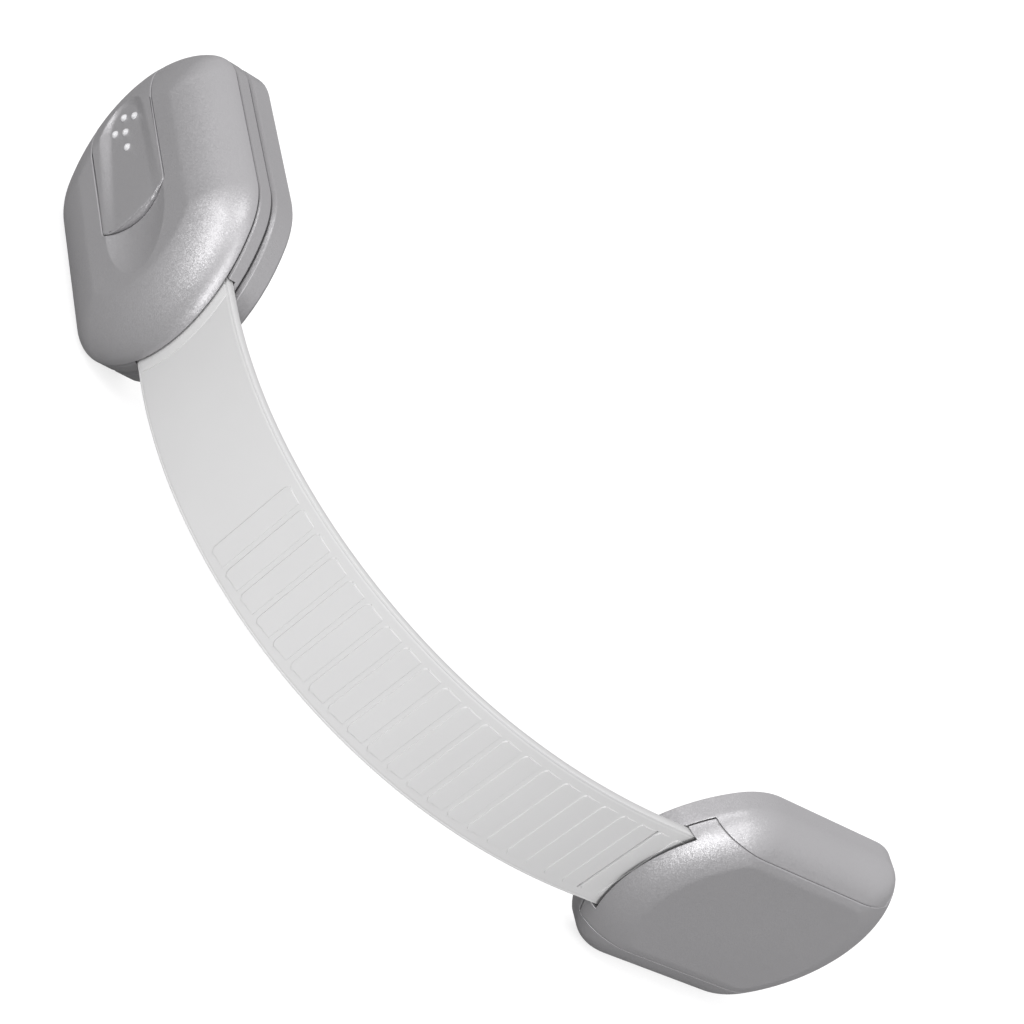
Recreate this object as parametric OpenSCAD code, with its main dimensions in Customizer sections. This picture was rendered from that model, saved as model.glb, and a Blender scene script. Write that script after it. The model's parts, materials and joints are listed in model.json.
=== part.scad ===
// Adjustable cabinet safety lock: two stick-on heads joined by a ribbed strap.
// The release head lets go of its base when its button slides, and the adjuster
// head grips the strap's ratchet ribs under a hinged cover.
// Heads are drawn flat, x from the strap end to the far end and z up from the
// adhesive face, and then placed on the two sides of a cabinet corner.

/* [Head outline] */
// Length of each head along the strap
head_len = 51; // [48:0.5:56]
// Width of each head across the strap
head_w = 38; // [36:0.5:41]
// Radius of the four corners seen from the front
corner_r = 10; // [9.5:0.5:11.5]
// Distance from each end to the centres of its corners, which sets how the end arches
corner_setback = 14; // [13:0.1:15]

/* [Adhesive pads] */
// Thickness of each foam pad
pad_t = 1; // [0.8:0.1:1.5]
// Depth to which a pad sits in its base
pad_seat = 0.4; // [0.2:0.05:0.6]
// Distance from a base's outline to its pad
pad_inset = 1.6; // [1:0.1:3]

/* [Release head] */
// Thickness of the base that stays on the furniture
rel_base_t = 3.9; // [3.6:0.1:5]
// Open gap between the base and the head
rel_gap = 0.4; // [0.3:0.05:0.8]
// Thickness of the back plate
back_plate_t = 2.2; // [2:0.1:2.6]
// Height of the front shell
shell_h = 6; // [5.6:0.1:7]
// Wall of the front shell
shell_wall = 1.8; // [1.4:0.1:2]
// How far in the front edge starts to round
rel_round_run = 9; // [6:0.5:9.5]
// How far down the front edge rounds
rel_round_rise = 5.6; // [4:0.1:5.6]

/* [Release button] */
// Width of the button
button_w = 13.6; // [12.5:0.1:15.5]
// Length of the button from its arched edge to the far end
button_len = 30.4; // [29.5:0.1:31]
// Sagitta of the button's arched edge
button_sag = 1.7; // [1:0.1:2.5]
// Seam round the button
button_gap = 0.25; // [0.15:0.05:0.4]
// Travel of the button towards the far end
button_travel = 2.5; // [2:0.1:3]
// Depth of the finger dish in the button
dish_depth = 0.9; // [0.5:0.1:1]
// Depth of the finger scoop in the shell, at the button's edge
scoop_depth = 1.7; // [1.2:0.1:2]
// Length of the finger scoop ahead of the button
scoop_len = 10; // [8:0.5:12]
// Radius of the grip dots
dot_r = 0.6; // [0.4:0.05:0.8]

/* [Adjuster head] */
// Thickness of the adjuster's base under the strap
adj_base_t = 3.3; // [3:0.1:3.5]
// Height of the adjuster above the furniture
adj_top = 8.8; // [8.6:0.1:10]
// How far in the front edge starts to round
adj_round_run = 7.5; // [5:0.1:9]
// How far down the front edge rounds
adj_round_rise = 5.5; // [4:0.1:5.6]
// Width of the cover's panel between the side rails
panel_w = 26.7; // [25.5:0.1:28]
// Length of the cover's full-width end
cover_end_len = 7.2; // [6.5:0.1:9]
// Seam between the cover and the base
cover_gap = 0.2; // [0.15:0.05:0.3]
// Radius of the cover's hinge pin
pin_r = 0.75; // [0.6:0.05:0.8]

/* [Strap] */
// Width of the strap
strap_w = 19.5; // [18:0.1:20]
// Thickness of the strap
strap_t = 1.2; // [1:0.05:1.3]
// Angle through which the strap turns between the heads
bend_angle = 90; // [60:1:120]
// Distance from one ratchet rib to the next
rib_spacing = 3.76; // [3.5:0.01:3.8]
// Length of each rib across the strap
rib_w = 15.9; // [14:0.1:16.4]
// Height of each rib's steep edge
rib_h = 0.45; // [0.3:0.05:0.5]
// Length of the strap inside the adjuster
tail_len = 20.2; // [20:0.1:21]

/* [Hidden] */
// Small overrun for cuts
over = 0.5;
// Running clearance of a pin in its bore
pin_clear = 0.05;
// Sliding clearance between small inner parts
inner_clear = 0.25;
// Clearance on each side of the strap's thickness
strap_clear = 0.1;
// Clearance beside the strap's edges
strap_side_clear = 0.3;
// Lowest upright edge left under a rounded front
edge_min = 0.1;

// Outline of a head: centres of the end arc and of the corners
corner_cx = head_len / 2 - corner_setback;
corner_cy = head_w / 2 - corner_r;
end_r =
    (pow(corner_setback, 2) + pow(corner_cy, 2) - pow(corner_r, 2))
    / (2 * (corner_setback - corner_r));
end_cx = head_len / 2 - end_r;
join_angle = atan2(corner_cy, corner_cx - end_cx);
// Steps of a rounded front edge
edge_steps = 6;
// Largest inset of a rounded edge, as a share of the corner's radius
round_limit_share = 0.95;

// Heights in the release head, from the adhesive face
base_z0 = pad_t - pad_seat;
rel_base_z1 = base_z0 + rel_base_t;
back_z0 = rel_base_z1 + rel_gap;
back_z1 = back_z0 + back_plate_t;
rel_top = back_z1 + shell_h;
rel_rise = min(rel_round_rise, shell_h - button_gap - edge_min);
// Small bevel on the edges of the flat plates
plate_bevel = 0.5;
// The strap lies in a recess of the back plate
rel_strap_z = back_z1 - strap_clear - strap_t / 2;
// The release end of the strap: straight lead outside the head, and length inside
rel_lead = 1;
anchor_len = 16;
// Posts that hold the strap's end
post_r = 1.5;
post_inset = 11;
post_x = -head_len / 2 + post_inset;
post_y = 5;
post_h = 1.4;

// Button outline
button_x0 = head_len / 2 - button_len;
button_edge_r = (pow(button_w / 2, 2) + pow(button_sag, 2)) / (2 * button_sag);
button_edge_cx = button_x0 + button_edge_r;

// Latch: hooks under the slide reach through the back plate below the base's ledges
slide_t = 1;
slide_z0 = back_z1 + inner_clear;
slide_z1 = slide_z0 + slide_t;
slide_inset = 0.7;
slide_x0 = button_x0 + slide_inset;
slide_len = 20;
slide_side = 8;
slide_w = head_w - 2 * slide_side;
slide_window_w = 8.6;
hook_t = 1.8;
hook_w = 3.6;
hook_inset = 3.1;
hook_spacing = 13.2;
hook_x = [button_x0 + hook_inset, button_x0 + hook_inset + hook_spacing];
hook_side = 0.7;
hook_y = slide_w / 2 - hook_w / 2 - hook_side;
hook_nose = 1.3;
hook_nose_t = 1;
ledge_t = 0.9;
ledge_cover = 1;
ledge_len = 2.9;
keeper_post_t = 1.2;
hook_z0 = rel_base_z1 - ledge_t - inner_clear - hook_nose_t;
pocket_z0 = hook_z0 - inner_clear;
pocket_wall = 3;
// Spring that returns the slide
lug_inset = 11.5;
lug_x = button_x0 + lug_inset;
lug_t = 1.5;
lug_w = 6;
lug_h = 1.9;
spring_room = 9.5;
seat_x = lug_x + lug_t + spring_room;
seat_t = 1.4;
spring_r = 1.2;
spring_wire = 0.5;
spring_turns = 8;
spring_lift = 0.75;
spring_z = slide_z1 + spring_lift;
// Rails that guide the slide
rail_t = 0.8;
rail_h = 0.9;
// Legs that join the button to the slide
leg_inset = 5.1;
leg_spacing = 10.4;
leg_x = [button_x0 + leg_inset, button_x0 + leg_inset + leg_spacing];
leg_len = 2.6;
leg_side = 0.6;
leg_t = 1.4;
leg_y = button_w / 2 - leg_t / 2 - leg_side;
// Screws that close the head
screw_near_inset = 12.5;
screw_far_inset = 10.5;
screw_x = [-head_len / 2 + screw_near_inset, head_len / 2 - screw_far_inset];
screw_side = 4.7;
screw_y = head_w / 2 - screw_side;
screw_shank_r = 0.8;
screw_head_r = 1.7;
screw_head_t = 1.1;
boss_r = 1.9;
boss_h = 3.6;
screw_skin = 1;

// The dish in the button's face and the scoop ahead of it in the shell
dish_side = 1.2;
dish_near_r = button_w / 2 - dish_side;
dish_far_r = 3.4;
dish_far_inset = 9.6;
dish_far_x = head_len / 2 - dish_far_inset;
dish_slope = 0.8;
scoop_side = 0.6;
scoop_near_r = button_w / 2 - scoop_side;
scoop_tip_r = 2.4;
// Grip dots: an arrow towards the far end, as shares of the button's width
dot_rise = 0.35;
dot_place_shares = [[0.632, 0], [0.754, 0.165], [0.754, -0.165], [0.875, 0], [1.125, 0]];

// Heights in the adjuster head
adj_floor = base_z0 + adj_base_t;
adj_parting = adj_floor + cover_gap;
adj_strap_clear = 0.2;
adj_strap_z = adj_floor + adj_strap_clear + strap_t / 2;
adj_lead = 2.3;
notch_x = head_len / 2 - cover_end_len;
slot_h = adj_strap_clear + strap_t + rib_h + adj_strap_clear;
// Low ribs on the base that guide the strap's edges
guide_t = 0.8;
guide_h = 1.4;
guide_y = strap_w / 2 + strap_side_clear;
// Hollow under the cover
hollow_near_inset = 8;
hollow_far_inset = 8.5;
hollow_x0 = -head_len / 2 + hollow_near_inset;
hollow_x1 = head_len / 2 - hollow_far_inset;
hollow_w = 2 * (guide_y + guide_t + inner_clear);
cover_skin = 1.6;
hollow_top = adj_top - cover_skin;
pawl_room = 0.6;
// Hinge of the cover, at the far end
hinge_inset = 1.9;
hinge_lift = 0.7;
hinge_x = head_len / 2 - hinge_inset;
hinge_z = adj_floor + hinge_lift;
knuckle_r = 1.4;
knuckle_w = 5.2;
lug_r = 1.1;
hinge_lug_w = 2.1;
groove_r = 2.4;
groove_w = 19;
lug_y0 = knuckle_w / 2 + inner_clear;
lug_y1 = lug_y0 + hinge_lug_w;
// Ratchet pawl under the cover, with teeth at two of the strap's ribs
pawl_t = 0.7;
pawl_w = 15;
pawl_near_inset = 2.9;
pawl_far_inset = 4.6;
pawl_x0 = hollow_x0 + pawl_near_inset;
pawl_x1 = hollow_x1 - pawl_far_inset;
pawl_flex_len = 20.5;
pawl_ribs = [4, 5];
pawl_tooth_len = 1.2;
pawl_tooth_gap = 0.12;
rivet_inset = 2.8;
rivet_x = pawl_x1 - rivet_inset;
rivet_y = 4.5;
rivet_r = 1;
rivet_head_r = 1.7;
rivet_head_t = 0.5;
rivet_len = 1.5;
guide_x1 = rivet_x - rivet_head_r;

// Free strap between the heads, and its ribs with the steep edge to the release head
span_count = 7;
ribs_per_span = 4;
ribbed_spans = 5;
rib_len = 3.2;
rib_start = 0.22;
rib_sink = 0.3;
rib_corner_r = 1.1;
strap_corner_r = 0.35;
span_len = ribs_per_span * rib_spacing;
tail_ribs = 1 + floor((adj_lead + tail_len - rib_start - rib_len) / rib_spacing);
// Share of the bend in each span, from the adjuster to the release head
bend_shares = [0.1, 0.125, 0.15, 0.16, 0.165, 0.16, 0.14];

function sum_to(list, n) = n <= 0 ? 0 : list[n - 1] + sum_to(list, n - 1);
// Direction of the strap at the start of a span, walking to the release head
function heading(i) = 180 - bend_angle * sum_to(bend_shares, i);
function span_turn(i) = bend_angle * bend_shares[i];
function span_r(i) = span_len / (span_turn(i) * PI / 180);
// Unit vector from the strap to the centre of its bend
function inward(a) = [sin(a), -cos(a)];
function span_start(i) =
    i == 0
        ? [-head_len / 2 - adj_lead, -adj_strap_z]
        : span_centre(i - 1) - span_r(i - 1) * inward(heading(i));
function span_centre(i) = span_start(i) + span_r(i) * inward(heading(i));

// Place of the release head's adhesive face
rel_heading = heading(span_count);
rel_origin =
    span_start(span_count)
    + (head_len / 2 + rel_lead) * [cos(rel_heading), sin(rel_heading)]
    + rel_strap_z * inward(rel_heading);

// Half of a head's cross-section: the edge is a list of [inset, height], upwards
function section(outer, edge) =
    concat(
        [[0, edge[0][1]]],
        [for (p = edge) [outer - p[0], p[1]]],
        [[0, edge[len(edge) - 1][1]]]
    );

// The edge carried round a head's outline: arched ends, corners and the sides between them
module swept_form(edge) {
    hull()
        for (side = [0, 1])
            mirror([side, 0, 0]) {
                translate([end_cx, 0, 0])
                    rotate([0, 0, -join_angle])
                        rotate_extrude(angle = 2 * join_angle, $fn = 64)
                            polygon(section(end_r, edge));
                for (y = [-corner_cy, corner_cy])
                    translate([corner_cx, y, 0])
                        rotate_extrude($fn = 64)
                            polygon(section(corner_r, edge));
            }
}

// A pebble: upright sides and a front edge that rounds by run and rise
module rounded_form(bottom, top, run, rise, inset) {
    fit_run = min(run, (corner_r - inset) * round_limit_share);
    swept_form(concat(
        [[inset, bottom]],
        [for (i = [0:edge_steps])
            let (a = 90 * i / edge_steps)
            [inset + fit_run * (1 - cos(a)), top - rise + rise * sin(a)]]
    ));
}

// A flat plate with bevelled edges
module bevelled_plate(bottom, top, bevel) {
    swept_form([[bevel, bottom], [0, bottom + bevel], [0, top - bevel], [bevel, top]]);
}

// A flat plate with upright edges
module plain_plate(bottom, top, inset) {
    swept_form([[inset, bottom], [inset, top]]);
}

// A block by its lowest and highest corners
module block(low, high) {
    translate(low)
        cube(high - low);
}

// A block and its mirror image across the head's middle
module block_pair(low, high) {
    block(low, high);
    mirror([0, 1, 0])
        block(low, high);
}

// Places a flat head on the adjuster's side of the corner
module at_adjuster() {
    rotate([90, 0, 0])
        children();
}

// Places a flat head on the release side of the corner
module at_release() {
    translate([rel_origin[0], rel_origin[1], 0])
        rotate([0, 0, rel_heading])
            rotate([-90, 0, 0])
                children();
}

module adhesive_pad() {
    plain_plate(0, pad_t, pad_inset);
}

module pad_recess() {
    plain_plate(base_z0 - over, pad_t, pad_inset - inner_clear);
}

// Seen from the front, the cover is a T: a panel between the rails and a full-width end
module cover_plan(grow) {
    translate([-head_len, -panel_w / 2 - grow])
        square([2 * head_len, panel_w + 2 * grow]);
    translate([notch_x - grow, -head_w])
        square([head_len, 2 * head_w]);
}

module adjuster_form() {
    rounded_form(base_z0, adj_top, adj_round_run, adj_round_rise, 0);
}

// A round bar across the head at the cover's hinge
module hinge_bar(r, y0, y1) {
    translate([hinge_x, y1, hinge_z])
        rotate([90, 0, 0])
            cylinder(r = r, h = y1 - y0, $fn = 48);
}

module hinge_lug(y0, y1) {
    hinge_bar(lug_r, y0, y1);
    block([hinge_x - lug_r, y0, hinge_z - groove_r - over], [hinge_x + lug_r, y1, hinge_z]);
}

module adjuster_base_flat() {
    difference() {
        union() {
            difference() {
                adjuster_form();
                translate([0, 0, adj_floor])
                    linear_extrude(adj_top)
                        cover_plan(cover_gap);
                hinge_bar(groove_r, -groove_w / 2, groove_w / 2);
            }
            hinge_lug(lug_y0, lug_y1);
            hinge_lug(-lug_y1, -lug_y0);
            block_pair(
                [hollow_x0 + inner_clear, guide_y, adj_floor - over],
                [guide_x1, guide_y + guide_t, adj_floor + guide_h]
            );
        }
        pad_recess();
        hinge_bar(pin_r + pin_clear, -lug_y1 - over, lug_y1 + over);
    }
}

module adjuster_cover_flat() {
    slot_w = strap_w + 2 * strap_side_clear;
    difference() {
        union() {
            difference() {
                intersection() {
                    adjuster_form();
                    translate([0, 0, adj_parting])
                        linear_extrude(adj_top)
                            cover_plan(0);
                }
                block(
                    [hollow_x0, -hollow_w / 2, adj_floor - over],
                    [hollow_x1, hollow_w / 2, hollow_top]
                );
                block(
                    [hollow_x0, -strap_w / 2, adj_floor - over],
                    [hollow_x0 + pawl_flex_len, strap_w / 2, hollow_top + pawl_room]
                );
                block(
                    [-head_len, -slot_w / 2, adj_floor - over],
                    [hollow_x0 + over, slot_w / 2, adj_floor + slot_h]
                );
                block_pair(
                    [hinge_x - lug_r - inner_clear, lug_y0 - inner_clear, adj_floor - over],
                    [head_len, lug_y1 + inner_clear, hinge_z + lug_r + inner_clear]
                );
            }
            hinge_bar(knuckle_r, -knuckle_w / 2, knuckle_w / 2);
        }
        hinge_bar(pin_r + pin_clear, -lug_y0, lug_y0);
        for (y = [-rivet_y, rivet_y])
            translate([rivet_x, y, hollow_top - over])
                cylinder(r = rivet_r, h = over + rivet_len - pawl_t, $fn = 32);
    }
}

// Side view of one pawl tooth, with its steep face at x = 0
module pawl_tooth(tip_z) {
    rotate([90, 0, 0])
        linear_extrude(pawl_w, center = true)
            polygon([
                [0, tip_z],
                [-pawl_tooth_len / 2, tip_z],
                [-pawl_tooth_len, hollow_top - pawl_t / 2],
                [0, hollow_top - pawl_t / 2]
            ]);
}

module ratchet_pawl_flat() {
    first_face = -head_len / 2 - adj_lead + rib_start;
    tip_z = adj_strap_z + strap_t / 2 + adj_strap_clear;
    difference() {
        union() {
            block([pawl_x0, -pawl_w / 2, hollow_top - pawl_t], [pawl_x1, pawl_w / 2, hollow_top]);
            for (i = pawl_ribs)
                translate([first_face + i * rib_spacing - pawl_tooth_gap, 0, 0])
                    pawl_tooth(tip_z);
        }
        for (y = [-rivet_y, rivet_y])
            translate([rivet_x, y, hollow_top - pawl_t - over])
                cylinder(r = rivet_r + pin_clear, h = pawl_t + 2 * over, $fn = 32);
    }
}

module pawl_rivets_flat() {
    for (y = [-rivet_y, rivet_y])
        translate([rivet_x, y, hollow_top - pawl_t]) {
            cylinder(r = rivet_r, h = rivet_len, $fn = 32);
            translate([0, 0, -rivet_head_t])
                cylinder(r = rivet_head_r, h = rivet_head_t, $fn = 32);
        }
}

// Cross-section of the strap, thickness along x
module strap_section() {
    square([strap_t - 2 * strap_corner_r, strap_w], center = true);
    square([strap_t, strap_w - 2 * strap_corner_r], center = true);
    for (x = [-1, 1], y = [-1, 1])
        translate([x * (strap_t / 2 - strap_corner_r), y * (strap_w / 2 - strap_corner_r)])
            circle(r = strap_corner_r, $fn = 32);
}

// A straight length of strap along x, middle at z = 0
module straight_strap(len) {
    rotate([0, 90, 0])
        linear_extrude(len)
            strap_section();
}

// One ratchet rib on a face at z = 0: steep edge at x = 0, falling towards +x
module rib() {
    intersection() {
        rotate([90, 0, 0])
            linear_extrude(rib_w, center = true)
                polygon([[0, -rib_sink], [0, rib_h], [rib_len, 0], [rib_len, -rib_sink]]);
        translate([0, 0, -rib_sink])
            linear_extrude(rib_sink + rib_h) {
                translate([rib_corner_r, -rib_w / 2])
                    square([rib_len, rib_w]);
                translate([0, -rib_w / 2 + rib_corner_r])
                    square([rib_len, rib_w - 2 * rib_corner_r]);
                for (s = [-1, 1])
                    translate([rib_corner_r, s * (rib_w / 2 - rib_corner_r)])
                        circle(r = rib_corner_r, $fn = 32);
            }
    }
}

// A bent length of strap; the first spans from the adjuster carry ribs
module strap_span(i) {
    r = span_r(i);
    centre = span_centre(i);
    color([0.84, 0.84, 0.84])
        translate([centre[0], centre[1], 0]) {
            rotate([0, 0, heading(i) + 90 - span_turn(i)])
                rotate_extrude(angle = span_turn(i), $fn = 180)
                    translate([r, 0])
                        strap_section();
            if (i < ribbed_spans)
                for (k = [0:ribs_per_span - 1])
                    rotate([0, 0, heading(i + 1) + 90 + (rib_start + k * rib_spacing) * 180 / PI / r])
                        translate([r + strap_t / 2, 0, 0])
                            rotate([0, 90, 0])
                                rotate([0, 0, 90])
                                    rib();
        }
}

module strap_tail() {
    color([0.84, 0.84, 0.84])
        at_adjuster()
            translate([-head_len / 2 - adj_lead, 0, adj_strap_z]) {
                straight_strap(adj_lead + tail_len);
                for (k = [0:tail_ribs - 1])
                    translate([rib_start + k * rib_spacing, 0, strap_t / 2])
                        rib();
            }
}

module strap_anchor_end() {
    color([0.84, 0.84, 0.84])
        at_release()
            difference() {
                translate([-head_len / 2 - rel_lead, 0, rel_strap_z])
                    straight_strap(rel_lead + anchor_len);
                for (y = [-post_y, post_y])
                    translate([post_x, y, rel_strap_z - strap_t])
                        cylinder(r = post_r + strap_clear, h = 2 * strap_t, $fn = 32);
            }
}

// Holes for the screws, or the screws themselves, at the four corners
module at_screws() {
    for (x = screw_x, y = [-screw_y, screw_y])
        translate([x, y, 0])
            children();
}

module release_back_plate_flat() {
    slot_w = strap_w + 2 * strap_side_clear;
    seat_top = slide_z1 + lug_h;
    difference() {
        bevelled_plate(back_z0, back_z1, plate_bevel / 2);
        block(
            [-head_len, -slot_w / 2, rel_strap_z - strap_t / 2 - strap_clear],
            [-head_len / 2 + anchor_len + inner_clear, slot_w / 2, back_z1 + over]
        );
        for (x = hook_x)
            block_pair(
                [x - hook_nose - inner_clear, hook_y - hook_w / 2 - inner_clear, back_z0 - over],
                [
                    x + hook_t + button_travel + inner_clear,
                    hook_y + hook_w / 2 + inner_clear,
                    back_z1 + over
                ]
            );
        at_screws() {
            translate([0, 0, back_z0 - over])
                cylinder(r = screw_head_r + inner_clear, h = over + screw_head_t, $fn = 32);
            translate([0, 0, back_z0])
                cylinder(r = screw_shank_r + pin_clear, h = back_plate_t + over, $fn = 32);
        }
    }
    for (y = [-post_y, post_y])
        translate([post_x, y, rel_strap_z - strap_t / 2 - strap_clear - over])
            cylinder(r = post_r, h = over + strap_t + post_h, $fn = 32);
    block([seat_x, -lug_w / 2, back_z1 - over], [seat_x + seat_t, lug_w / 2, seat_top]);
    block_pair(
        [slide_x0, slide_w / 2 + inner_clear, back_z1 - over],
        [slide_x0 + slide_len, slide_w / 2 + inner_clear + rail_t, back_z1 + rail_h]
    );
}

// Seen from the front: straight sides and an arched edge towards the strap
module button_plan(grow) {
    intersection() {
        translate([button_x0 - grow, -button_w / 2 - grow])
            square([2 * head_len, button_w + 2 * grow]);
        union() {
            translate([button_edge_cx, 0])
                circle(r = button_edge_r + grow, $fn = 96);
            translate([button_edge_cx, -head_w])
                square([2 * head_len, 2 * head_w]);
        }
    }
}

module release_form(bottom) {
    rounded_form(bottom, rel_top, rel_round_run, rel_rise, 0);
}

module release_hollow() {
    rounded_form(
        back_z1 - shell_wall,
        rel_top - shell_wall,
        rel_round_run - shell_wall,
        rel_rise - shell_wall / 2,
        shell_wall
    );
}

// The part of the finger scoop that lies in the shell
module shell_scoop() {
    hull() {
        translate([button_x0 - scoop_len + scoop_tip_r, 0, rel_top])
            cylinder(r = scoop_tip_r, h = over, $fn = 32);
        translate([button_x0 + button_sag, 0, rel_top - scoop_depth])
            cylinder(
                r1 = scoop_near_r - dish_slope,
                r2 = scoop_near_r,
                h = scoop_depth + over,
                $fn = 32
            );
    }
}

// The part of the finger dish that lies in the button
module button_dish() {
    hull() {
        for (end = [[button_x0, dish_near_r], [dish_far_x, dish_far_r]])
            translate([end[0], 0, rel_top - dish_depth])
                cylinder(
                    r1 = end[1] - dish_slope / 2,
                    r2 = end[1] + dish_slope,
                    h = dish_depth + over,
                    $fn = 32
                );
    }
}

module release_front_shell_flat() {
    difference() {
        union() {
            difference() {
                release_form(back_z1);
                difference() {
                    release_hollow();
                    block([-head_len, -head_w, 0], [button_x0 - over, head_w, 2 * rel_top]);
                }
            }
            at_screws()
                translate([0, 0, back_z1])
                    cylinder(r = boss_r, h = boss_h, $fn = 32);
        }
        translate([0, 0, back_z1 - over])
            linear_extrude(2 * shell_h)
                button_plan(button_gap);
        shell_scoop();
        at_screws()
            translate([0, 0, back_z1 - over])
                cylinder(r = screw_shank_r + pin_clear, h = over + boss_h - screw_skin, $fn = 32);
        for (y = [-post_y, post_y])
            translate([post_x, y, back_z1 - over])
                cylinder(r = post_r + strap_clear, h = over + post_h, $fn = 32);
    }
}

module shell_screws_flat() {
    at_screws()
        translate([0, 0, back_z0 + inner_clear / 2]) {
            cylinder(r = screw_head_r, h = screw_head_t - inner_clear / 2, $fn = 32);
            cylinder(r = screw_shank_r, h = back_plate_t + boss_h - screw_skin - inner_clear, $fn = 32);
        }
}

module release_button_flat() {
    difference() {
        intersection() {
            release_form(back_z1 + button_gap);
            linear_extrude(2 * rel_top)
                button_plan(0);
        }
        release_hollow();
        button_dish();
    }
    for (place = dot_place_shares)
        translate([
            head_len / 2 - place[0] * button_w,
            place[1] * button_w,
            rel_top - dish_depth + dot_rise - dot_r
        ])
            sphere(r = dot_r, $fn = 32);
    for (x = leg_x)
        block_pair(
            [x, leg_y - leg_t / 2, slide_z1],
            [x + leg_len, leg_y + leg_t / 2, rel_top - shell_wall]
        );
}

module latch_slide_flat() {
    difference() {
        block([slide_x0, -slide_w / 2, slide_z0], [slide_x0 + slide_len, slide_w / 2, slide_z1]);
        block(
            [lug_x + lug_t, -slide_window_w / 2, slide_z0 - over],
            [head_len, slide_window_w / 2, slide_z1 + over]
        );
    }
    block([lug_x, -lug_w / 2, slide_z1 - slide_t / 2], [lug_x + lug_t, lug_w / 2, slide_z1 + lug_h]);
}

module latch_hooks_flat() {
    for (x = hook_x) {
        block_pair(
            [x, hook_y - hook_w / 2, hook_z0],
            [x + hook_t, hook_y + hook_w / 2, slide_z0]
        );
        block_pair(
            [x - hook_nose, hook_y - hook_w / 2, hook_z0],
            [x, hook_y + hook_w / 2, hook_z0 + hook_nose_t]
        );
    }
}

// Round wire wound on a helix along x
module wire_coil(len, r, wire, turns) {
    steps = 12;
    sides = 6;
    count = turns * steps;
    rise = (len - wire) / turns;
    lean = atan2(rise, 2 * PI * r);
    points = [
        for (i = [0:count], j = [0:sides - 1])
            let (
                a = 360 * i / steps,
                b = 360 * j / sides,
                out = r + wire / 2 * cos(b),
                side = wire / 2 * sin(b)
            )
            [
                wire / 2 + rise * i / steps + side * cos(lean),
                out * cos(a) + side * sin(lean) * sin(a),
                out * sin(a) - side * sin(lean) * cos(a)
            ]
    ];
    walls = [
        for (i = [0:count - 1], j = [0:sides - 1])
            let (k = (j + 1) % sides, p = i * sides, q = p + sides)
            each [[p + j, p + k, q + j], [p + k, q + k, q + j]]
    ];
    ends = [
        for (j = [1:sides - 2])
            each [
                [0, j + 1, j],
                [count * sides, count * sides + j, count * sides + j + 1]
            ]
    ];
    polyhedron(points = points, faces = concat(walls, ends));
}

module button_return_spring_flat() {
    translate([lug_x + lug_t + pin_clear, 0, spring_z])
        wire_coil(spring_room - 2 * pin_clear, spring_r, spring_wire, spring_turns);
}

module release_base_plate_flat() {
    difference() {
        bevelled_plate(base_z0, rel_base_z1, plate_bevel);
        plain_plate(pocket_z0, rel_base_z1 + over, pocket_wall);
        pad_recess();
    }
    for (x = hook_x) {
        block_pair(
            [x - ledge_len, hook_y - hook_w / 2, rel_base_z1 - ledge_t],
            [x - hook_nose + ledge_cover, hook_y + hook_w / 2, rel_base_z1]
        );
        block_pair(
            [x - ledge_len, hook_y - hook_w / 2, pocket_z0 - over],
            [x - ledge_len + keeper_post_t, hook_y + hook_w / 2, rel_base_z1]
        );
    }
}

module adjuster_adhesive_pad() {
    color([0.93, 0.93, 0.91])
        at_adjuster()
            adhesive_pad();
}

module adjuster_base() {
    color([0.64, 0.64, 0.65])
        at_adjuster()
            adjuster_base_flat();
}

module adjuster_cover() {
    color([0.66, 0.66, 0.67])
        at_adjuster()
            adjuster_cover_flat();
}

module cover_hinge_pin() {
    color([0.75, 0.75, 0.76])
        at_adjuster()
            hinge_bar(pin_r, -lug_y1, lug_y1);
}

module ratchet_pawl() {
    color([0.72, 0.72, 0.73])
        at_adjuster()
            ratchet_pawl_flat();
}

module pawl_rivets() {
    color([0.75, 0.75, 0.76])
        at_adjuster()
            pawl_rivets_flat();
}

module release_back_plate() {
    color([0.6, 0.6, 0.61])
        at_release()
            release_back_plate_flat();
}

module release_front_shell() {
    color([0.66, 0.66, 0.67])
        at_release()
            release_front_shell_flat();
}

module shell_screws() {
    color([0.75, 0.75, 0.76])
        at_release()
            shell_screws_flat();
}

module release_button() {
    color([0.66, 0.66, 0.67])
        at_release()
            release_button_flat();
}

module latch_slide() {
    color([0.6, 0.6, 0.61])
        at_release()
            latch_slide_flat();
}

module latch_hooks() {
    color([0.6, 0.6, 0.61])
        at_release()
            latch_hooks_flat();
}

module button_return_spring() {
    color([0.8, 0.8, 0.81])
        at_release()
            button_return_spring_flat();
}

module release_base_plate() {
    color([0.64, 0.64, 0.65])
        at_release()
            release_base_plate_flat();
}

module release_adhesive_pad() {
    color([0.93, 0.93, 0.91])
        at_release()
            adhesive_pad();
}

adjuster_adhesive_pad();
adjuster_base();
adjuster_cover();
cover_hinge_pin();
ratchet_pawl();
pawl_rivets();
strap_tail();
strap_span(0);  // strap_span_1
strap_span(1);  // strap_span_2
strap_span(2);  // strap_span_3
strap_span(3);  // strap_span_4
strap_span(4);  // strap_span_5
strap_span(5);  // strap_span_6
strap_span(6);  // strap_span_7
strap_anchor_end();
release_back_plate();
release_front_shell();
shell_screws();
release_button();
latch_slide();
latch_hooks();
button_return_spring();
release_base_plate();
release_adhesive_pad();
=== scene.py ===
# %% [markdown]
# # A strap lock for a cabinet corner
# Two stick-on plastic heads and a soft ribbed strap that bends round the corner
# between them. Each head is drawn flat on the bench in millimetres, x from the strap
# to the far end and z up from the adhesive face, and then turned into its place on
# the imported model, which gives every piece its exact seat.

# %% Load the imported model
import json
import math
import bpy
from mathutils import Matrix, Vector

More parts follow.
